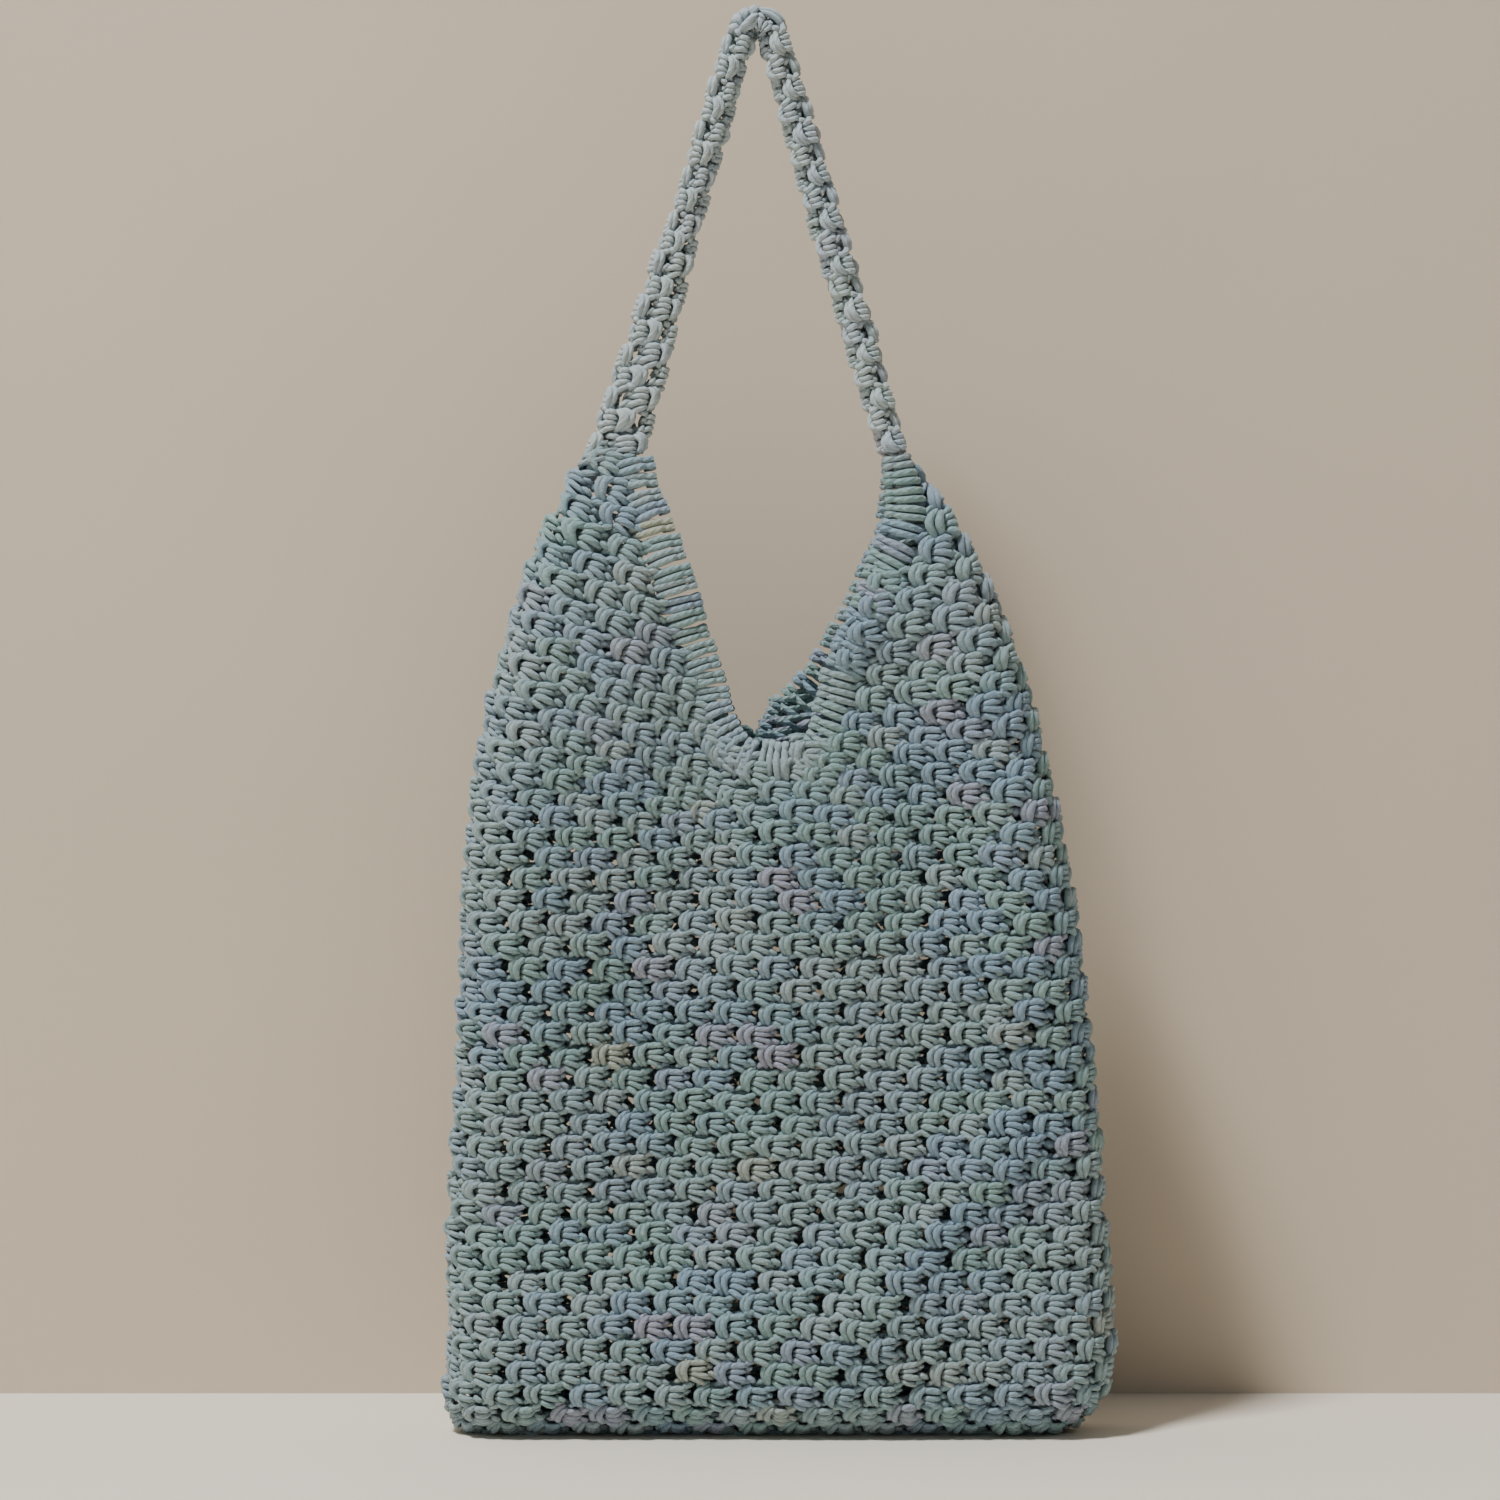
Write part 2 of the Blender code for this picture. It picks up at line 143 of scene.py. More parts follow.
# One stitch, from the middle of the hole at its left. Each strand is an arc through three points: across as a share of
# the stitch's width, up as a share of a row, out in millimetres from the wall's middle, and its thickness in
# millimetres.
STITCH_WIDTH = 0.0219
ROW_HEIGHT = 0.0116
STRAND_COLUMNS = (
    "x0", "y0", "out0", "x1", "y1", "out1", "x2", "y2", "out2", "thick", "steps", "sides",
)
STRANDS = (
    # The fat upright pair beside the hole, which hooks to the right at its head
    (0.40, 0.52, 1.2, 0.115, 0.14, 3.2, 0.23, -0.52, 0.6, 3.7, 6, 8),
    (0.46, 0.40, 1.6, 0.240, 0.08, 4.4, 0.32, -0.56, 1.0, 3.8, 6, 8),
    # The two level bars above the seam
    (0.40, 0.25, 1.4, 0.600, 0.32, 4.1, 0.80, 0.23, 1.0, 3.3, 4, 7),
    (0.37, 0.03, 1.4, 0.580, 0.07, 4.2, 0.79, 0.00, 0.8, 3.2, 4, 7),
    # The leaves under the seam, which run down to the next upright pair
    (0.36, -0.17, 1.4, 0.600, -0.21, 4.1, 0.84, -0.42, 1.2, 3.4, 4, 7),
    (0.34, -0.36, 1.2, 0.530, -0.48, 3.7, 0.74, -0.76, 1.0, 3.4, 4, 7),
    # The strands above, below and beside the next hole
    (0.72, 0.36, 0.6, 0.870, 0.45, 2.9, 1.03, 0.52, 0.4, 3.3, 3, 6),
    (0.74, 0.12, 0.2, 0.830, 0.15, 1.6, 0.91, 0.12, -0.8, 2.9, 3, 6),
    (0.76, -0.18, 0.4, 0.880, -0.28, 2.4, 0.99, -0.50, -0.2, 3.1, 3, 6),
    # The loop over the head of the upright pair, and the strand at its foot
    (0.06, 0.48, -0.4, 0.200, 0.64, 2.0, 0.38, 0.68, 0.6, 3.0, 3, 6),
    (0.24, -0.36, -0.4, 0.110, -0.42, 1.2, 0.00, -0.58, -0.6, 2.9, 3, 6),
    # The strands behind
    (0.10, 0.48, -1.4, 0.500, 0.42, -2.4, 0.92, 0.48, -1.4, 4.8, 2, 5),
    (0.10, -0.48, -1.4, 0.500, -0.40, -2.4, 0.92, -0.48, -1.4, 4.8, 2, 5),
    (0.20, 0.02, -1.0, 0.500, 0.00, -1.6, 0.86, 0.02, -1.0, 4.8, 2, 5),
)

# The strand that closes a hole from behind: in front where the crochet is dense, and all over the back.
CLOSING_STRANDS = (
    (-0.16, 0.04, -2.0, 0.000, 0.00, -2.6, 0.20, -0.04, -2.0, 5.6, 2, 6),
)

# One row end at the neck, where across points out of the cloth from its edge: pairs of plies that wrap around it.
EDGE_WIDTH = 0.0100
EDGE_HEIGHT = 0.0082
EDGE_STRANDS = (
    (-1.70, 0.26, 0.4, -0.720, 0.30, 3.6, 0.22, 0.24, 1.8, 3.8, 5, 7),
    (-1.65, -0.16, 0.4, -0.680, -0.22, 3.7, 0.22, -0.18, 1.8, 3.9, 5, 7),
    (-0.06, 0.24, 2.8, 0.480, 0.25, 0.0, -0.06, 0.22, -2.8, 4.2, 5, 7),
    (-0.06, -0.18, 2.8, 0.490, -0.20, 0.0, -0.06, -0.22, -2.8, 4.3, 5, 7),
    (-1.50, 0.02, -1.6, -0.700, 0.02, -2.6, 0.05, 0.02, -2.4, 5.4, 2, 5),
)

# How far the rows of the two lobes turn with their outer edges, in degrees, and where along the pouch's height the
# turn starts and is complete, as shares of POUCH_HEIGHT.
LOBE_TURN = {"left": 17.0, "right": 9.0}
TURN_START, TURN_END = 0.55, 0.86
TURN_REACH = 0.055

# How much larger the stitches are in the lobes, and between which shares of POUCH_HEIGHT they grow.
LOBE_GROWTH = 0.10
GROWTH_START, GROWTH_END = 0.60, 0.80

# The crochet in front is dense above a share of POUCH_HEIGHT and outside two shares of POUCH_WIDTH.
DENSE_ABOVE = 0.66
DENSE_LEFT, DENSE_RIGHT = -0.40, 0.30

# Stitches keep NECK_MARGIN from the neck's edge and end at TOP_SHARE, may pass a panel's ends by SEAM_MARGIN, and the
# row ends sit EDGE_SETBACK inside the edge.
NECK_MARGIN = 0.010
TOP_SHARE = 0.997
SEAM_MARGIN = 0.002
EDGE_SETBACK = 0.002

# How far one stitch's strands differ from another's, in the units of the first ten columns of STRAND_COLUMNS.
STRAND_VARIATION = (0.025, 0.035, 0.25, 0.035, 0.045, 0.45, 0.025, 0.035, 0.25, 0.25)

# How a stitch's place in metres, its turn in radians and its size vary for an unevenness of 1.
PLACE_DRIFT = (0.012, 0.012, 0.004)
TURN_JITTER = (0.0, 0.0, 1.6)
SIZE_JITTER = (0.6, 0.9, 2.0)

# Facets of the forms that the stitches are bent onto
SECTION_POINTS = 181
BOTTOM_TURNS = 10
QUARTER_COLUMNS = 25
FORM_ROWS = 72
FORM_OVERRUN = 0.016
EDGE_SAMPLES = 60
LEG_RINGS = 40
BEND_RINGS = 24
RING_POINTS = 41
LEAST_HALF = 0.0015

# The stage: the camera looks level along +Y at CAMERA_AIM (x, z) and sees VIEW_WIDTH at the bag.
WALL_Y = 0.126
FLOOR_RISE = 0.001
STAGE_REACH, STAGE_TOP = 4, 3
CAMERA_DISTANCE = 2.2
CAMERA_AIM = (-0.0037, -0.3754)
VIEW_WIDTH = 0.7875
SENSOR_WIDTH = 36


def column(table, names, name):
    """One named column of a table as an array."""
    return np.array([row[names.index(name)] for row in table])


def smooth(at, places, values):
    """A smooth curve through the given values, without overshoot between rows."""
    steps = np.diff(places)
    rises = np.diff(values) / steps
    slopes = np.concatenate([rises[:1], (rises[:-1] + rises[1:]) / 2, rises[-1:]])
    turns = np.concatenate([[False], rises[:-1] * rises[1:] <= 0, [False]])
    slopes[turns] = 0
    at = np.clip(at, places[0], places[-1])
    left = np.clip(np.searchsorted(places, at, side="right") - 1, 0, len(steps) - 1)
    step = steps[left]
    t = (at - places[left]) / step
    return (
        (1 + 2 * t) * (1 - t) ** 2 * values[left]
        + t * (1 - t) ** 2 * step * slopes[left]
        + t * t * (3 - 2 * t) * values[left + 1]
        + t * t * (t - 1) * step * slopes[left + 1]
    )


def section_value(name, share):
    """A section column at a height share."""
    heights = column(SECTIONS, SECTION_COLUMNS, "height")
    return smooth(share, heights, column(SECTIONS, SECTION_COLUMNS, name))


def neck_edge(neck, name, share):
    """An edge of the neck opening, in metres from the hang line."""
    heights = column(neck, NECK_COLUMNS, "height")
    return smooth(share, heights, column(neck, NECK_COLUMNS, name)) * POUCH_WIDTH


def fold_rise(panel, x, z):
    """How far the folds push a panel outwards at a point, in metres."""
    rise = 0.0
    for name, top_x, top_z, low_x, low_z, half, height in FOLDS:
        if name != panel:
            continue
        top = (top_x * POUCH_WIDTH, BOTTOM_HEIGHT + top_z * POUCH_HEIGHT)
        low = (low_x * POUCH_WIDTH, BOTTOM_HEIGHT + low_z * POUCH_HEIGHT)
        run = (top[0] - low[0], top[1] - low[1])
        length = math.hypot(*run)
        along = ((x - low[0]) * run[0] + (z - low[1]) * run[1]) / length
        aside = ((x - low[0]) * run[1] - (z - low[1]) * run[0]) / length
        past = np.maximum(np.maximum(-along, along - length), 0)
        width = half * POUCH_WIDTH
        rise = rise + height * POUCH_DEPTH * np.exp(-(aside**2 + past**2) / width**2)
    return rise


def panel_line(panel, z):
    """The wall's middle along one panel at height z, from the left end to the right end: x and y arrays."""
    share = (z - BOTTOM_HEIGHT) / POUCH_HEIGHT
    left = -section_value("left", share) * POUCH_WIDTH + WALL / 2
    right = section_value("right", share) * POUCH_WIDTH - WALL / 2
    lowest = BOTTOM_HEIGHT + WALL / 2
    closing = math.sqrt(1 - (1 - min(1, max(0, z - lowest) / BOTTOM_ROUNDING)) ** 2)
    left_end = section_value("left_end", share) * POUCH_DEPTH
    right_end = section_value("right_end", share) * POUCH_DEPTH
    angle = np.linspace(0, math.pi / 2, SECTION_POINTS // 4)
    middle = np.linspace(left + left_end, right - right_end, SECTION_POINTS)[1:-1]
    x = np.concatenate([left + left_end * (1 - np.cos(angle)), middle, right - right_end * (1 - np.sin(angle))])
    round_off = np.concatenate([np.sin(angle), np.ones(len(middle)), np.cos(angle)])
    across = (x - left) / (right - left)
    depth = section_value(panel + "_left", share) * (1 - across) + section_value(panel + "_right", share) * across
    out = (depth * POUCH_DEPTH + fold_rise(panel, x, z)) * round_off * closing
    return x, -out if panel == "front" else out


def even_points(x, y, shares):
    """Points at the given shares of a line's length."""
    length = np.concatenate([[0], np.cumsum(np.hypot(np.diff(x), np.diff(y)))])
    at = np.asarray(shares) * length[-1]
    return np.interp(at, length, x), np.interp(at, length, y)


def grid_normals(points, closed):
    """Outward normals of a grid of points (rows up, columns around)."""
    if closed:
        around = np.roll(points, -1, 1) - np.roll(points, 1, 1)
    else:
        around = np.gradient(points, axis=1)
    up = np.gradient(points, axis=0)
    normals = np.cross(around, up)
    return normals / np.maximum(np.linalg.norm(normals, axis=2, keepdims=True), 1e-9)


def form_mesh(name, points, normals, around, up):
    """A mesh of the form, with a UV map of the places around and up, both as shares of the chart's size."""
    rows, columns = points.shape[:2]
    mesh = bpy.data.meshes.new(name)
    faces = [
        (r * columns + c, r * columns + c + 1, (r + 1) * columns + c + 1, (r + 1) * columns + c)
        for r in range(rows - 1)
        for c in range(columns - 1)
    ]
    mesh.from_pydata(points.reshape(-1, 3).tolist(), [], faces)
    stored = mesh.attributes.new("outward", "FLOAT_VECTOR", "POINT")
    stored.data.foreach_set("vector", normals.reshape(-1).astype(np.float32))
    layer = mesh.uv_layers.new(name="chart")
    corners = np.zeros(len(mesh.loops), np.int32)
    mesh.loops.foreach_get("vertex_index", corners)
    uv = np.stack([np.broadcast_to(around, (rows, columns)).reshape(-1), np.repeat(up, columns)], 1)[corners]
    layer.data.foreach_set("uv", uv.reshape(-1).astype(np.float32))
    made = bpy.data.objects.new(name, mesh)
    bpy.context.scene.collection.objects.link(made)
    return made


def ramp_between(value, start, end):
    """A soft step from 0 at start to 1 at end."""
    t = min(1.0, max(0.0, (value - start) / (end - start)))
    return t * t * (3 - 2 * t)


class PouchForm:
    """One panel of the pouch's wall with a flat chart: metres around from its middle line, and metres up."""

    SPAN = 1.0

    def __init__(self, panel):
        self.panel = panel
        lowest = BOTTOM_HEIGHT + WALL / 2
        turns = np.linspace(0, math.pi / 2, BOTTOM_TURNS)
        low = lowest + BOTTOM_ROUNDING * (1 - np.cos(turns))
        high = np.linspace(low[-1], PEAK_HEIGHT + FORM_OVERRUN, FORM_ROWS)[1:]
        self.heights = np.concatenate([low, high])
        quarter = math.pi / 4 * (BOTTOM_ROUNDING + 0.5 * POUCH_DEPTH)
        self.lengths = np.concatenate([quarter * turns / turns[-1], quarter + high - low[-1]])
        self.rise = float(self.lengths[-1])
        points, arcs, ends = [], [], []
        for z in self.heights:
            quarters = []
            for name in ("front", "back"):
                x, y = panel_line(name, z)
                middle = np.interp(0.0, x, y)
                left = np.concatenate([x[x < 0], [0.0]]), np.concatenate([y[x < 0], [middle]])
                right = np.concatenate([[0.0], x[x > 0]]), np.concatenate([[middle], y[x > 0]])
                quarters.append([even_points(*half, np.linspace(0, 1, QUARTER_COLUMNS)) for half in (left, right)])
            (front_left, front_right), (back_left, back_right) = quarters
            back_left, back_right = [[line[::-1] for line in half] for half in (back_left, back_right)]
            ring = [back_left, front_left, front_right, back_right]
            if panel == "back":
                ring = [front_right, back_right, back_left, front_left]
            line = [np.concatenate([ring[0][at]] + [quarter[at][1:] for quarter in ring[1:]]) for at in (0, 1)]
            arc = np.concatenate([[0], np.cumsum(np.hypot(np.diff(line[0]), np.diff(line[1])))])
            middle_at = 2 * (QUARTER_COLUMNS - 1)
            arc -= arc[middle_at]
            ends.append((arc[QUARTER_COLUMNS - 1], arc[3 * (QUARTER_COLUMNS - 1)]))
            points.append(np.stack([line[0], line[1], np.full(len(arc), z)], 1))
            arcs.append(arc)
        points = np.array(points)
        self.arcs, self.ends, self.xs = np.array(arcs), np.array(ends), points[:, :, 0]
        normals = grid_normals(points[:, :-1], True)
        normals = np.concatenate([normals, normals[:, :1]], 1)
        normals[0] = (0, 0, -1)
        self.object = form_mesh(
            panel + "_form", points, normals, self.arcs / self.SPAN + 0.5, self.lengths / self.rise
        )

    def at_height(self, up, values):
        """A row of values at a length up the form, between the two nearest rows."""
        at = float(np.interp(up, self.lengths, np.arange(len(self.lengths))))
        low = min(int(at), len(self.lengths) - 2)
        return values[low] + (values[low + 1] - values[low]) * (at - low)

    def share(self, up):
        """The share of the pouch's height at a length up the form."""
        return (float(np.interp(up, self.lengths, self.heights)) - BOTTOM_HEIGHT) / POUCH_HEIGHT

    def x_at(self, around, up):
        """The x of a place of the chart."""
        return float(np.interp(around, self.at_height(up, self.arcs), self.at_height(up, self.xs)))

    def is_cloth(self, around, up):
        """Whether a place of the chart is on this panel's cloth, and not in the neck."""
        start, end = self.at_height(up, self.ends)
        if not start - SEAM_MARGIN <= around <= end + SEAM_MARGIN:
            return False
        share = self.share(up)
        if share > TOP_SHARE:
            return False
        neck = FRONT_NECK if self.panel == "front" else BACK_NECK
        if share < neck[0][0]:
            return True
        x = self.x_at(around, up)
        left, right = neck_edge(neck, "left", share), neck_edge(neck, "right", share)
        return not left - NECK_MARGIN < x < right + NECK_MARGIN

    def warp(self, around, up):
        """Turn the rows and columns of the lobes with the bag's outer edges. Gives the place and the turn."""
        share = self.share(up)
        side = "left" if (around < 0) == (self.panel == "front") else "right"
        sign = -1 if around < 0 else 1
        start_share = BOTTOM_HEIGHT + TURN_START * POUCH_HEIGHT
        base = float(np.interp(start_share, self.heights, self.lengths))
        edge = self.at_height(up, self.ends)[(sign + 1) // 2]
        base_edge = self.at_height(base, self.ends)[(sign + 1) // 2]
        amount = ramp_between(share, TURN_START, TURN_END)
        inside = ramp_between(abs(around), 0.0, TURN_REACH)
        drift = (edge - base_edge) * inside if up > base else 0.0
        from_edge = max(0.0, abs(base_edge) - abs(around))
        slope = math.tan(math.radians(LOBE_TURN[side])) * amount * inside
        return around + drift, up - slope * from_edge, sign * math.atan(slope)

    def lattice(self):
        """The stitches of the panel: place in the chart, turn, size, and cell and row numbers."""
        found = []
        for row in range(-1, int(self.rise / ROW_HEIGHT) + 6):
            up = (row + 0.5) * ROW_HEIGHT
            for cell in range(-22, 22):
                across = (cell + 0.5 * (row % 2)) * STITCH_WIDTH
                place = self.warp(across + STITCH_WIDTH / 2, up)
                if 0 < place[1] < self.rise and self.is_cloth(place[0], place[1]):
                    x, y, turn = self.warp(across, up)
                    size = 1.0 + LOBE_GROWTH * ramp_between(self.share(place[1]), GROWTH_START, GROWTH_END)
                    found.append((x, y, turn, size, cell + 0.5 * (row % 2), row))
        return found

    def is_dense(self, place):
        """Whether the crochet is dense at a stitch, so that its hole is closed from behind."""
        across = self.x_at(place[0], place[1]) / POUCH_WIDTH
        return self.share(place[1]) > DENSE_ABOVE or not DENSE_LEFT <= across <= DENSE_RIGHT

    def edge_places(self):
        """Row ends along the neck's edge: place in the chart, turn, size, and two numbers for the colour."""
        neck = FRONT_NECK if self.panel == "front" else BACK_NECK
        shares = np.linspace(TOP_SHARE, neck[0][0], EDGE_SAMPLES)
        path = [("left", share) for share in shares] + [("right", share) for share in shares[::-1]]
        line = []
        for side, share in path:
            up = float(np.interp(BOTTOM_HEIGHT + share * POUCH_HEIGHT, self.heights, self.lengths))
            around = self.at_height(up, self.arcs)
            xs = self.at_height(up, self.xs)
            inside = slice(QUARTER_COLUMNS - 1, 3 * (QUARTER_COLUMNS - 1) + 1)
            order = np.argsort(xs[inside])
            line.append((np.interp(neck_edge(neck, side, share), xs[inside][order], around[inside][order]), up))
        line = np.array(line)
        length = np.concatenate([[0], np.cumsum(np.hypot(*np.diff(line, axis=0).T))])
        count = int(length[-1] / EDGE_HEIGHT)
        at = (np.arange(count) + 0.5) * length[-1] / count
        spots = np.stack([np.interp(at, length, line[:, 0]), np.interp(at, length, line[:, 1])], 1)
        along = np.gradient(spots, axis=0)
        along /= np.linalg.norm(along, axis=1, keepdims=True)
        # On the back panel's chart the line runs the other way around.
        sign = 1 if self.panel == "front" else -1
        found = []
        for (x, y), (tangent_x, tangent_y) in zip(spots, along):
            gap_x, gap_y = -tangent_y * sign, tangent_x * sign
            turn = math.atan2(gap_y, gap_x)
            place = (x - EDGE_SETBACK * gap_x, y - EDGE_SETBACK * gap_y)
            found.append((*place, turn, 1.0, x / STITCH_WIDTH, y / ROW_HEIGHT))
        return found


def band_value(name, up):
    """A band column at a share of the leg, in metres."""
    ups = column(BAND, BAND_COLUMNS, "up")
    return float(smooth(up, ups, column(BAND, BAND_COLUMNS, name))) * BAND_WIDTH


def band_rings():
    """Rings of the band, as in the part: middle x and z, angle of the outward axis, across, deep, forward."""
    foot_z = PEAK_HEIGHT
    left_x = (-section_value("left", 1.0) * POUCH_WIDTH + neck_edge(FRONT_NECK, "left", 1.0)) / 2
    right_edge = neck_edge(FRONT_NECK, "right", 1.0) - WALL / 2
    right_x = (section_value("right", 1.0) * POUCH_WIDTH + right_edge) / 2
    bend = HANG_RADIUS + band_value("left_across", 1.0) / 2
    centre_z = -HANG_RADIUS
    leans = {}
    for side, foot_x in (("left", float(left_x)), ("right", float(right_x))):
        reach = math.hypot(foot_x, foot_z - centre_z)
        leans[side] = (foot_x, math.asin(abs(foot_x) / reach) - math.asin(bend / reach))
    rings = []

    def leg(side, sign, up):
        """Add a ring of a straight leg."""
        foot_x, lean = leans[side]
        top = (sign * bend * math.cos(lean), centre_z + bend * math.sin(lean))
        tilt = lean * up * up * (3 - 2 * up)
        angle = tilt if sign > 0 else math.pi - tilt
        size = [band_value(f"{side}_{name}", up) for name in ("across", "deep", "forward")]
        rings.append((foot_x + (top[0] - foot_x) * up, foot_z + (top[1] - foot_z) * up, angle, *size))

    for step in range(LEG_RINGS):
        leg("left", -1, step / LEG_RINGS)
    start, end = math.pi - leans["left"][1], leans["right"][1]
    for step in range(BEND_RINGS + 1):
        angle = start + (end - start) * step / BEND_RINGS
        size = (band_value("left_across", 1.0), band_value("left_deep", 1.0), 0.0)
        rings.append((bend * math.cos(angle), centre_z + bend * math.sin(angle), angle, *size))
    for step in range(LEG_RINGS):
        leg("right", 1, 1 - (step + 1) / LEG_RINGS)
    return rings


class BandForm:
    """The strap's surface as a grid around its rings, with a chart of stitches around and rows along."""

    def __init__(self, cells, rows, inset):
        self.cells, self.rows = cells, rows
        self.SPAN, self.rise = cells * STITCH_WIDTH, rows * ROW_HEIGHT
        rings = band_rings()
        turns = np.linspace(0, 2 * math.pi, RING_POINTS)
        points = []
        for x, z, angle, across, deep, forward in rings:
            half_across, half_deep = (max(size / 2 - inset, LEAST_HALF) for size in (across, deep))
            # The count runs from the inside of the loop over the front to the outside and round the back.
            out = -np.sign(np.cos(turns)) * np.abs(np.cos(turns)) ** 0.8 * half_across
            side = -np.sign(np.sin(turns)) * np.abs(np.sin(turns)) ** 0.8 * half_deep
            points.append(np.stack([x + out * math.cos(angle), side - forward, z + out * math.sin(angle)], 1))
        points = np.array(points)
        middles = points[:, :-1].mean(1)
        lengths = np.concatenate([[0], np.cumsum(np.linalg.norm(np.diff(middles, axis=0), axis=1))])
        normals = grid_normals(points[:, :-1], True)
        outward = points[:, :-1] - middles[:, None, :]
        normals *= np.sign((normals * outward).sum(2).mean())
        normals = np.concatenate([normals, normals[:, :1]], 1)
        around = np.linspace(0, 1, points.shape[1])
        self.object = form_mesh("strap_form", points, normals, around, lengths / lengths[-1])

    def lattice(self):
        """The stitches of the strap: place in the chart, turn, size, and cell and row numbers."""
        return [
            ((cell + 0.5 * (row % 2) - self.cells / 2) * STITCH_WIDTH, (row + 0.5) * ROW_HEIGHT, 0.0, 1.0, cell, row)
            for row in range(self.rows)
            for cell in range(self.cells)
        ]


def tube(points, radii, sides, start_point):
    """A closed tube through points: vertices, faces, and each vertex's length along it and turn around it."""
    tangents = np.gradient(points, axis=0)
    tangents /= np.linalg.norm(tangents, axis=1, keepdims=True)
    away = np.cross(tangents, (0.02, 0.05, 1.0))
    away /= np.linalg.norm(away, axis=1, keepdims=True)
    third = np.cross(tangents, away)
    turn = np.linspace(0, 2 * math.pi, sides, endpoint=False)
    ring = away[:, None] * np.cos(turn)[None, :, None] + third[:, None] * np.sin(turn)[None, :, None]
    verts = (points[:, None] + ring * radii[:, None, None]).reshape(-1, 3)
    faces = []
    for r in range(len(points) - 1):
        for s in range(sides):
            t = (s + 1) % sides
            a, b = start_point + r * sides, start_point + (r + 1) * sides
            faces.append((a + s, b + s, b + t, a + t))
    last = start_point + (len(points) - 1) * sides
    faces.append(tuple(start_point + s for s in range(sides)))
    faces.append(tuple(last + s for s in reversed(range(sides))))
    length = np.concatenate([[0], np.cumsum(np.linalg.norm(np.diff(points, axis=0), axis=1))])
    return verts, faces, np.repeat(length, sides), np.tile(turn / (2 * math.pi), len(points))


def varied(strands, seed):
    """The strands with small differences in place and thickness, for another stitch."""
    rng = np.random.default_rng(seed)
    made = []
    for strand in strands:
        moves = rng.uniform(-1, 1, len(STRAND_VARIATION)) * np.array(STRAND_VARIATION)
        made.append((*(value + move for value, move in zip(strand[:10], moves)), *strand[10:]))
    return made


def stitch_mesh(name, strands, width, height, fewer_sides=0):
    """One stitch in flat space, in metres: x across, y up the rows, z out of the wall."""
    verts, faces, along, around, strand_no = [], [], [], [], []
    total = 0
    for index, (x0, y0, h0, x1, y1, h1, x2, y2, h2, thick, steps, sides) in enumerate(strands):
        ends = np.array([(x0 * width, y0 * height, h0 / 1000), (x2 * width, y2 * height, h2 / 1000)])
        middle = np.array((x1 * width, y1 * height, h1 / 1000))
        pull = 2 * middle - ends.mean(0)
        sides -= fewer_sides
        count = max(3, steps + 1 - fewer_sides // 2)
        t = np.linspace(0, 1, count)[:, None]
        points = (1 - t) ** 2 * ends[0] + 2 * t * (1 - t) * pull + t * t * ends[1]
        swell = 0.62 + 0.38 * np.sin(math.pi * np.clip(t[:, 0], 0.0, 1.0)) ** 0.6
        made = tube(points, thick / 2000 * swell, sides, total)
        verts.append(made[0])
        faces += made[1]
        along.append(made[2])
        around.append(made[3])
        strand_no.append(np.full(len(made[0]), index, np.float32))
        total += len(made[0])
    verts = np.concatenate(verts)
    mesh = bpy.data.meshes.new(name)
    mesh.from_pydata(verts.tolist(), [], faces)
    mesh.polygons.foreach_set("use_smooth", [True] * len(mesh.polygons))
    yarn = np.stack([np.concatenate(along), np.concatenate(around), np.concatenate(strand_no)], 1)
    stored = mesh.attributes.new("yarn", "FLOAT_VECTOR", "POINT")
    stored.data.foreach_set("vector", yarn.reshape(-1).astype(np.float32))
    made = bpy.data.objects.new(name, mesh)
    bpy.context.scene.collection.objects.link(made)
    return made


def lattice_mesh(name, places, seed):
    """A point for each stitch, with its turn, its size and its cell, row and a random number."""
    rng = np.random.default_rng(seed)
    mesh = bpy.data.meshes.new(name)
    mesh.from_pydata([(around, up, 0) for around, up, *_ in places], [], [])
    stored = mesh.attributes.new("cell", "FLOAT_VECTOR", "POINT")
    cells = np.array([(cell, row, rng.random()) for *_, cell, row in places], np.float32)
    stored.data.foreach_set("vector", cells.reshape(-1))
    for label, at in (("turn", 2), ("size", 3)):
        stored = mesh.attributes.new(label, "FLOAT", "POINT")
        stored.data.foreach_set("value", [place[at] for place in places])
    made = bpy.data.objects.new(mesh.name, mesh)
    bpy.context.scene.collection.objects.link(made)
    return made


def socket(tree, name, kind, default=None):
    """A named input of a node tree."""
    made = tree.interface.new_socket(name=name, in_out="INPUT", socket_type=kind)
    if default is not None:
        made.default_value = default
    return made


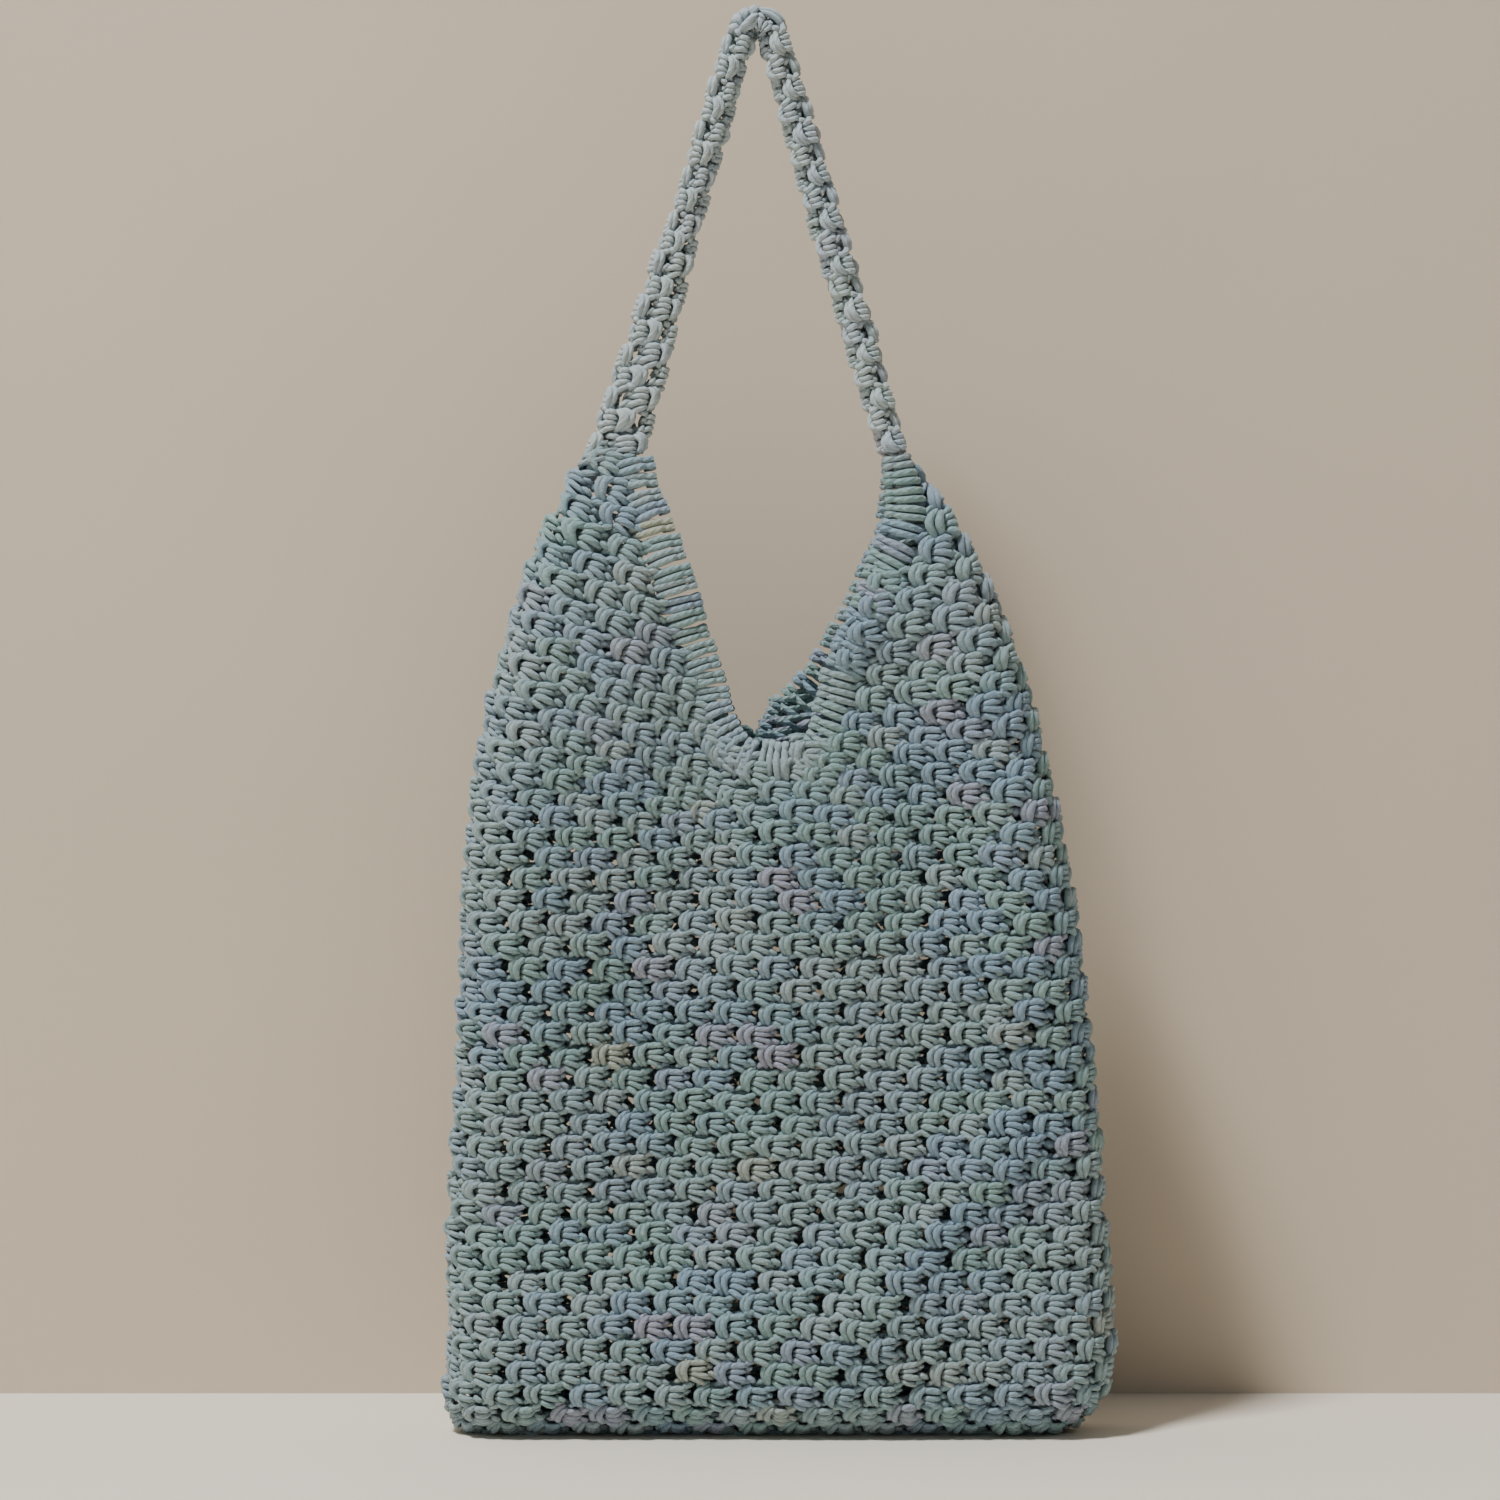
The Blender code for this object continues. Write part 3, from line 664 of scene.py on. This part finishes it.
def stitch_tree():
    """The Geometry Nodes tree: a stitch on each lattice point, bent onto the form."""
    tree = bpy.data.node_groups.new("crochet_stitches", "GeometryNodeTree")
    tree.interface.new_socket(name="Lattice", in_out="INPUT", socket_type="NodeSocketGeometry")
    socket(tree, "Stitch", "NodeSocketObject")
    socket(tree, "Form", "NodeSocketObject")
    socket(tree, "Span", "NodeSocketFloat", 1.0)
    socket(tree, "Rise", "NodeSocketFloat", 0.5)
    socket(tree, "Unevenness", "NodeSocketFloat", 0.05)
    socket(tree, "Seed", "NodeSocketInt", 1)
    socket(tree, "Yarn", "NodeSocketMaterial")
    tree.interface.new_socket(name="Stitches", in_out="OUTPUT", socket_type="NodeSocketGeometry")
    nodes, links = tree.nodes, tree.links
    given = nodes.new("NodeGroupInput")
    result = nodes.new("NodeGroupOutput")

    def node(kind, **settings):
        made = nodes.new(kind)
        for key, value in settings.items():
            setattr(made, key, value)
        return made

    def vector(operation, *inputs):
        made = node("ShaderNodeVectorMath", operation=operation)
        for at, value in enumerate(inputs):
            if isinstance(value, bpy.types.NodeSocket):
                links.new(value, made.inputs[at])
            else:
                made.inputs[at].default_value = value
        return made.outputs[0]

    def number(operation, *inputs):
        made = node("ShaderNodeMath", operation=operation)
        for at, value in enumerate(inputs):
            if isinstance(value, bpy.types.NodeSocket):
                links.new(value, made.inputs[at])
            else:
                made.inputs[at].default_value = value
        return made.outputs[0]

    def random_vector(low, high, offset):
        made = node("FunctionNodeRandomValue", data_type="FLOAT_VECTOR")
        made.inputs[0].default_value = low
        made.inputs[1].default_value = high
        links.new(number("ADD", given.outputs["Seed"], offset), made.inputs["Seed"])
        return made.outputs[0]

    stitch = node("GeometryNodeObjectInfo", transform_space="ORIGINAL")
    links.new(given.outputs["Stitch"], stitch.inputs["Object"])
    form = node("GeometryNodeObjectInfo", transform_space="ORIGINAL")
    links.new(given.outputs["Form"], form.inputs["Object"])

    placed = node("GeometryNodeInstanceOnPoints")
    links.new(given.outputs["Lattice"], placed.inputs["Points"])
    links.new(stitch.outputs["Geometry"], placed.inputs["Instance"])
    jitter = vector("SCALE", random_vector((-1, -1, -1), (1, 1, 1), 0))
    scale_node = jitter.node
    links.new(given.outputs["Unevenness"], scale_node.inputs["Scale"])
    turn = node("GeometryNodeInputNamedAttribute", data_type="FLOAT")
    turn.inputs["Name"].default_value = "turn"
    turned = node("ShaderNodeCombineXYZ")
    links.new(turn.outputs[0], turned.inputs[2])
    links.new(vector("ADD", vector("MULTIPLY", jitter, TURN_JITTER), turned.outputs[0]), placed.inputs["Rotation"])
    size = node("GeometryNodeInputNamedAttribute", data_type="FLOAT")
    size.inputs["Name"].default_value = "size"
    sizes = vector("SCALE", vector("ADD", vector("MULTIPLY", jitter, SIZE_JITTER), (1.0, 1.0, 1.0)))
    links.new(size.outputs[0], sizes.node.inputs["Scale"])
    links.new(sizes, placed.inputs["Scale"])
    moved = node("GeometryNodeTranslateInstances")
    links.new(placed.outputs[0], moved.inputs["Instances"])
    drift = vector("SCALE", random_vector(tuple(-side for side in PLACE_DRIFT), PLACE_DRIFT, 7))
    links.new(given.outputs["Unevenness"], drift.node.inputs["Scale"])
    links.new(drift, moved.inputs["Translation"])
    real = node("GeometryNodeRealizeInstances")
    links.new(moved.outputs[0], real.inputs[0])

    place = node("GeometryNodeInputPosition")
    parts = node("ShaderNodeSeparateXYZ")
    links.new(place.outputs[0], parts.inputs[0])
    share = number("ADD", number("DIVIDE", parts.outputs[0], given.outputs["Span"]), 0.5)
    around = number("FLOORED_MODULO", share, 1.0)
    up = number("DIVIDE", parts.outputs[1], given.outputs["Rise"])
    up = number("MAXIMUM", up, 0.0005)
    up = number("MINIMUM", up, 0.9995)
    around = number("MAXIMUM", around, 0.0005)
    around = number("MINIMUM", around, 0.9995)
    at = node("ShaderNodeCombineXYZ")
    links.new(around, at.inputs[0])
    links.new(up, at.inputs[1])
    uv = node("GeometryNodeInputNamedAttribute", data_type="FLOAT_VECTOR")
    uv.inputs["Name"].default_value = "chart"

    def sample(field):
        made = node("GeometryNodeSampleUVSurface", data_type="FLOAT_VECTOR")
        links.new(form.outputs["Geometry"], made.inputs["Mesh"])
        links.new(field, made.inputs["Value"])
        links.new(uv.outputs[0], made.inputs["Source UV Map"])
        links.new(at.outputs[0], made.inputs["Sample UV"])
        return made.outputs[0]

    surface = sample(node("GeometryNodeInputPosition").outputs[0])
    outward = node("GeometryNodeInputNamedAttribute", data_type="FLOAT_VECTOR")
    outward.inputs["Name"].default_value = "outward"
    normal = vector("NORMALIZE", sample(outward.outputs[0]))
    out = vector("SCALE", normal)
    links.new(parts.outputs[2], out.node.inputs["Scale"])
    settle = node("GeometryNodeSetPosition")
    links.new(real.outputs[0], settle.inputs["Geometry"])
    links.new(vector("ADD", surface, out), settle.inputs["Position"])
    paint = node("GeometryNodeSetMaterial")
    links.new(settle.outputs[0], paint.inputs["Geometry"])
    links.new(given.outputs["Yarn"], paint.inputs["Material"])
    links.new(paint.outputs[0], result.inputs[0])
    return tree


def grow_stitches(name, places, stitch, form, unevenness, seed, yarn, tree):
    """A plain mesh object of stitches on the form."""
    lattice = lattice_mesh(name, places, seed)
    modifier = lattice.modifiers.new("stitches", "NODES")
    modifier.node_group = tree
    values = {
        "Stitch": stitch, "Form": form.object, "Span": form.SPAN, "Rise": form.rise,
        "Unevenness": unevenness, "Seed": seed, "Yarn": yarn,
    }
    for item in tree.interface.items_tree:
        if item.in_out == "INPUT" and item.name in values:
            modifier[item.identifier] = values[item.name]
    lattice.update_tag()
    bpy.context.view_layer.update()
    graph = bpy.context.evaluated_depsgraph_get()
    mesh = bpy.data.meshes.new_from_object(lattice.evaluated_get(graph))
    mesh.name = name
    if not mesh.polygons:
        raise RuntimeError(f"{name} has no stitches")
    lattice.modifiers.clear()
    lattice.data = mesh
    return lattice


def shader_node(tree, kind, **settings):
    """A shader node with its settings."""
    made = tree.nodes.new(kind)
    for key, value in settings.items():
        setattr(made, key, value)
    return made


def yarn_material(name, settings, painted_light):
    """Soft two-ply yarn: colours that change along the rows, and fine fibre relief along each ply."""
    made = bpy.data.materials.new(name)
    made.use_nodes = True
    tree = made.node_tree
    links = tree.links
    shader = tree.nodes["Principled BSDF"]
    cell = shader_node(tree, "ShaderNodeAttribute", attribute_name="cell")
    yarn = shader_node(tree, "ShaderNodeAttribute", attribute_name="yarn")
    place = shader_node(tree, "ShaderNodeTexCoord")

    def noise(source, scale, detail, size=(1, 1, 1)):
        mapping = shader_node(tree, "ShaderNodeMapping")
        mapping.inputs["Scale"].default_value = size
        links.new(source, mapping.inputs["Vector"])
        made_noise = shader_node(tree, "ShaderNodeTexNoise")
        made_noise.inputs["Scale"].default_value = scale
        made_noise.inputs["Detail"].default_value = detail
        links.new(mapping.outputs[0], made_noise.inputs["Vector"])
        return made_noise.outputs["Fac"]

    def ramp(fac, stops):
        made_ramp = shader_node(tree, "ShaderNodeValToRGB")
        made_ramp.color_ramp.interpolation = "EASE"
        elements = made_ramp.color_ramp.elements
        while len(elements) < len(stops):
            elements.new(0.5)
        for element, (position, colour) in zip(elements, stops):
            element.position = position
            element.color = (*colour, 1)
        links.new(fac, made_ramp.inputs["Fac"])
        return made_ramp.outputs["Color"]

    def mix(kind, fac, a, b):
        made_mix = shader_node(tree, "ShaderNodeMix", data_type="RGBA", blend_type=kind)
        for value, index in ((fac, 0), (a, 6), (b, 7)):
            if isinstance(value, bpy.types.NodeSocket):
                links.new(value, made_mix.inputs[index])
            else:
                made_mix.inputs[index].default_value = value
        return made_mix.outputs[2]

    # Dyed lengths of the yarn run along the rows, so the noise is stretched along them.
    dye = noise(cell.outputs["Vector"], 1.0, 2.0, (0.42, 0.75, 0.9))
    colour = ramp(dye, (
        (0.30, settings.lilac_colour),
        (0.43, settings.blue_colour),
        (0.53, settings.green_colour),
        (0.64, settings.grey_colour),
        (0.74, settings.yellow_colour),
    ))
    wide = noise(place.outputs["Object"], 9.0, 1.0)
    colour = mix("MIX", ramp(wide, ((0.42, (0.0, 0.0, 0.0)), (0.62, (0.55, 0.55, 0.55)))), colour,
                 (*settings.grey_colour, 1))
    tone = noise(yarn.outputs["Vector"], 260.0, 2.0, (1, 0.004, 0.004))
    colour = mix("MULTIPLY", 0.6, colour, ramp(tone, ((0.3, (0.72, 0.74, 0.76)), (0.7, (1.0, 1.0, 1.0)))))
    fleck = noise(place.outputs["Object"], 900.0, 3.0)
    colour = mix("MIX", ramp(fleck, ((0.55, (0.0, 0.0, 0.0)), (0.78, (0.5, 0.5, 0.5)))), colour,
                 (*settings.pale_colour, 1))
    # Painted light: a share of the yarn is mixed towards the pale colour, giving a lighter copy of the yarn that
    # stands in for the light the strap catches.
    if painted_light:
        colour = mix("MIX", painted_light, colour, (*settings.pale_colour, 1))
    links.new(colour, shader.inputs["Base Color"])
    shader.inputs["Roughness"].default_value = 0.78
    shader.inputs["Specular IOR Level"].default_value = 0.25
    shader.inputs["Sheen Weight"].default_value = 0.25
    shader.inputs["Sheen Roughness"].default_value = 0.45

    # Fine fibres wind along each ply.
    split = shader_node(tree, "ShaderNodeSeparateXYZ")
    links.new(yarn.outputs["Vector"], split.inputs[0])
    twist = shader_node(tree, "ShaderNodeMath", operation="MULTIPLY_ADD")
    twist.inputs[1].default_value = 60.0
    links.new(split.outputs[0], twist.inputs[0])
    links.new(split.outputs[1], twist.inputs[2])
    wave = shader_node(tree, "ShaderNodeMath", operation="MULTIPLY")
    wave.inputs[1].default_value = 2 * math.pi * 4
    links.new(twist.outputs[0], wave.inputs[0])
    ridge = shader_node(tree, "ShaderNodeMath", operation="SINE")
    links.new(wave.outputs[0], ridge.inputs[0])
    fuzz = noise(place.outputs["Object"], 1400.0, 3.0)
    relief = shader_node(tree, "ShaderNodeMath", operation="MULTIPLY_ADD")
    relief.inputs[1].default_value = 0.35
    links.new(ridge.outputs[0], relief.inputs[0])
    links.new(fuzz, relief.inputs[2])
    bump = shader_node(tree, "ShaderNodeBump")
    bump.inputs["Strength"].default_value = 0.55
    bump.inputs["Distance"].default_value = 0.0007
    links.new(relief.outputs[0], bump.inputs["Height"])
    links.new(bump.outputs[0], shader.inputs["Normal"])
    return made


def plain_material(name, colour, low, high, scale):
    """A matt surface with faint mottling."""
    made = bpy.data.materials.new(name)
    made.use_nodes = True
    tree = made.node_tree
    shader = tree.nodes["Principled BSDF"]
    place = shader_node(tree, "ShaderNodeTexCoord")
    mottle = shader_node(tree, "ShaderNodeTexNoise")
    mottle.inputs["Scale"].default_value = scale
    tree.links.new(place.outputs["Object"], mottle.inputs["Vector"])
    shades = shader_node(tree, "ShaderNodeValToRGB")
    shades.color_ramp.elements[0].color = (*(c * low for c in colour), 1)
    shades.color_ramp.elements[1].color = (*(c * high for c in colour), 1)
    tree.links.new(mottle.outputs["Fac"], shades.inputs["Fac"])
    tree.links.new(shades.outputs["Color"], shader.inputs["Base Color"])
    shader.inputs["Roughness"].default_value = 0.85
    return made


def colour_property(name, description, default):
    """A colour setting."""
    return bpy.props.FloatVectorProperty(
        name=name, description=description, subtype="COLOR", size=3, min=0, max=1, default=default
    )


class CrochetBagSettings(bpy.types.PropertyGroup):
    """Sizes and colours of the crochet bag."""

    strap_cells: bpy.props.IntProperty(
        name="Strap cells", description="Stitches around the strap", default=3, min=2, max=6
    )
    strap_rows: bpy.props.IntProperty(
        name="Strap rows", description="Rows along the strap", default=40, min=16, max=70
    )
    unevenness: bpy.props.FloatProperty(
        name="Unevenness", description="How far the stitches differ from each other", default=0.07, min=0, max=0.2
    )
    strap_inset: bpy.props.FloatProperty(
        name="Strap inset", description="How deep the strap's stitches sit in its outline", default=0.0034,
        min=0, max=0.006, unit="LENGTH",
    )
    lilac_colour: colour_property("Lilac", "Lilac grey lengths of the yarn", (0.315, 0.330, 0.405))
    blue_colour: colour_property("Blue", "Grey blue lengths of the yarn", (0.225, 0.335, 0.425))
    green_colour: colour_property("Green", "Grey green lengths of the yarn", (0.235, 0.365, 0.355))
    grey_colour: colour_property("Grey", "Plain grey lengths of the yarn", (0.300, 0.385, 0.410))
    yellow_colour: colour_property("Yellow", "Yellowish lengths of the yarn", (0.370, 0.400, 0.310))
    # The pale colour is also the colour that the strap's yarn is lightened towards, as painted light.
    pale_colour: colour_property("Pale", "Pale fibres", (0.700, 0.745, 0.750))
    wall_colour: colour_property("Wall", "The wall behind the bag", (0.640, 0.540, 0.420))
    floor_colour: colour_property("Floor", "The floor below the bag", (0.800, 0.740, 0.640))


class CROCHETBAG_OT_pouch(bpy.types.Operator):
    """Build the pouch's stitches, front and back"""

    bl_idname = "crochet_bag.pouch"
    bl_label = "Build pouch"

    def execute(self, context):
        settings = context.scene.crochet_bag
        yarn = yarn_material("pouch_yarn", settings, 0.0)
        tree = stitch_tree()
        for panel, pieces, fewer_sides in (("front", 4, 0), ("back", 2, 2)):
            form = PouchForm(panel)
            places = form.lattice()
            # Each piece takes every so many stitches, in a stitch of its own.
            jobs = [
                (f"pouch_{panel}_{part + 1}", STRANDS, STITCH_WIDTH, ROW_HEIGHT, places[part::pieces], part)
                for part in range(pieces)
            ]
            # The back is closed all over, so that the holes in front show the dark inside and not the wall.
            dense = [place for place in places if panel == "back" or form.is_dense(place)]
            jobs.append((f"pouch_{panel}_closing", CLOSING_STRANDS, STITCH_WIDTH, ROW_HEIGHT, dense, 7))
            jobs.append((f"pouch_{panel}_neck_edge", EDGE_STRANDS, EDGE_WIDTH, EDGE_HEIGHT, form.edge_places(), 8))
            for name, strands, width, height, spots, seed in jobs:
                stitch = stitch_mesh(name + "_stitch", varied(strands, seed), width, height, fewer_sides)
                made = grow_stitches(name, spots, stitch, form, settings.unevenness, 11 + seed, yarn, tree)
                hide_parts("pouch")
                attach(made, "root")
                bpy.data.objects.remove(stitch, do_unlink=True)
            bpy.data.objects.remove(form.object, do_unlink=True)
        return {"FINISHED"}


class CROCHETBAG_OT_strap(bpy.types.Operator):
    """Build the strap's stitches"""

    bl_idname = "crochet_bag.strap"
    bl_label = "Build strap"

    def execute(self, context):
        settings = context.scene.crochet_bag
        form = BandForm(settings.strap_cells, settings.strap_rows, settings.strap_inset)
        # The strap's yarn is the pouch's yarn, lightened towards the pale colour as painted light.
        yarn = yarn_material("strap_yarn", settings, 0.35)
        stitch = stitch_mesh("strap_stitch", STRANDS, STITCH_WIDTH, ROW_HEIGHT)
        made = grow_stitches(
            "strap_stitches", form.lattice(), stitch, form, settings.unevenness, 5, yarn,
            bpy.data.node_groups["crochet_stitches"],
        )
        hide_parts("strap")
        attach(made, "root")
        for helper in (stitch, form.object):
            bpy.data.objects.remove(helper, do_unlink=True)
        return {"FINISHED"}


class CROCHETBAG_OT_stage(bpy.types.Operator):
    """Build the wall, the floor, the lights and the camera"""

    bl_idname = "crochet_bag.stage"
    bl_label = "Build stage"

    def execute(self, context):
        settings = context.scene.crochet_bag
        floor_z = BOTTOM_HEIGHT + FLOOR_RISE
        low = ((-STAGE_REACH, WALL_Y, floor_z), (STAGE_REACH, WALL_Y, floor_z))
        wall = plane("wall", (*low, (STAGE_REACH, WALL_Y, STAGE_TOP), (-STAGE_REACH, WALL_Y, STAGE_TOP)))
        wall.data.materials.append(plain_material("wall_paint", settings.wall_colour, 0.94, 1.04, 3.0))
        near = ((-STAGE_REACH, -STAGE_REACH, floor_z), (STAGE_REACH, -STAGE_REACH, floor_z))
        floor = plane("floor", (*near, *reversed(low)))
        floor.data.materials.append(plain_material("floor_paint", settings.floor_colour, 0.95, 1.04, 3.0))
        area_light("key", (-1.30, -1.30, 3.10), (0, 0, -0.40), 0.6, 205)
        area_light("fill", (-0.6, -2.6, -0.1), (0, 0, -0.4), 2.0, 3)
        world = bpy.data.worlds.new("soft_room")
        world.use_nodes = True
        world.node_tree.nodes["Background"].inputs["Color"].default_value = (0.90, 0.95, 1.0, 1)
        world.node_tree.nodes["Background"].inputs["Strength"].default_value = 0.17
        context.scene.world = world
        view = bpy.data.cameras.new("camera")
        view.sensor_width = SENSOR_WIDTH
        view.lens = SENSOR_WIDTH * CAMERA_DISTANCE / VIEW_WIDTH
        camera = bpy.data.objects.new("camera", view)
        camera.location = (CAMERA_AIM[0], -CAMERA_DISTANCE, CAMERA_AIM[1])
        camera.rotation_euler = (math.pi / 2, 0, 0)
        context.scene.collection.objects.link(camera)
        context.scene.camera = camera
        return {"FINISHED"}


def plane(name, corners):
    """A flat stage surface."""
    mesh = bpy.data.meshes.new(name)
    mesh.from_pydata(corners, [], [(0, 1, 2, 3)])
    made = bpy.data.objects.new(name, mesh)
    bpy.context.scene.collection.objects.link(made)
    return made


def area_light(name, place, target, size, power):
    """A square area light that points at target."""
    light = bpy.data.lights.new(name, "AREA")
    light.size = size
    light.energy = power
    made = bpy.data.objects.new(name, light)
    made.location = place
    away = np.array(place) - np.array(target)
    made.rotation_euler = (math.atan2(math.hypot(away[0], away[1]), away[2]), 0, math.atan2(away[0], -away[1]))
    bpy.context.scene.collection.objects.link(made)
    return made


class CROCHETBAG_PT_panel(bpy.types.Panel):
    """The bag's settings and build buttons"""

    bl_idname = "CROCHETBAG_PT_panel"
    bl_label = "Crochet bag"
    bl_space_type = "VIEW_3D"
    bl_region_type = "UI"
    bl_category = "Crochet bag"

    def draw(self, context):
        layout = self.layout
        settings = context.scene.crochet_bag
        for name in settings.__annotations__:
            layout.prop(settings, name)
        for operator in OPERATORS:
            layout.operator(operator.bl_idname)


OPERATORS = (CROCHETBAG_OT_pouch, CROCHETBAG_OT_strap, CROCHETBAG_OT_stage)
CLASSES = (CrochetBagSettings, *OPERATORS, CROCHETBAG_PT_panel)


def register():
    """Register the settings, operators and panel."""
    for made in CLASSES:
        bpy.utils.register_class(made)
    bpy.types.Scene.crochet_bag = bpy.props.PointerProperty(type=CrochetBagSettings)


def unregister():
    """Take the settings, operators and panel out again."""
    del bpy.types.Scene.crochet_bag
    for made in reversed(CLASSES):
        bpy.utils.unregister_class(made)


def main():
    register()
    bpy.ops.crochet_bag.pouch()
    bpy.ops.crochet_bag.strap()
    bpy.ops.crochet_bag.stage()


if __name__ == "__main__":
    main()
